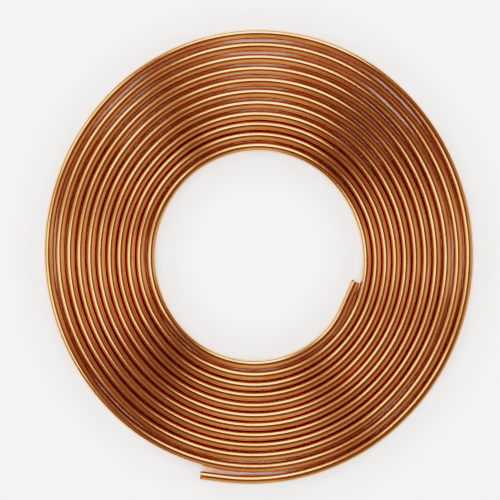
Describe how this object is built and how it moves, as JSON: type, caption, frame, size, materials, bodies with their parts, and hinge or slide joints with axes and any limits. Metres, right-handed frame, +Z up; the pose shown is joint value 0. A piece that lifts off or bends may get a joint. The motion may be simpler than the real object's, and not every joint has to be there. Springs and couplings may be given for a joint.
{
  "type": "copper coil",
  "caption": "Flat single-layer pancake coil of soft copper tube with an open eye and two square-cut open ends, raw stock to be uncoiled, cut and bent.",
  "frame": {"origin": "on the floor that the coil lies on, under the middle of its bounding box", "axes": "+Z up, square to the coil's plane; -Y towards the side where the outer end springs open; seen from above, the tube is wound clockwise from the inside out"},
  "size_m": [0.5711, 0.6051, 0.0127],
  "materials": {
    "copper": "bright drawn copper, smooth and polished, with faint lengthwise drawing lines"
  },
  "bodies": {
    "root": {"copper_coil": "copper"}
  },
  "joints": []
}
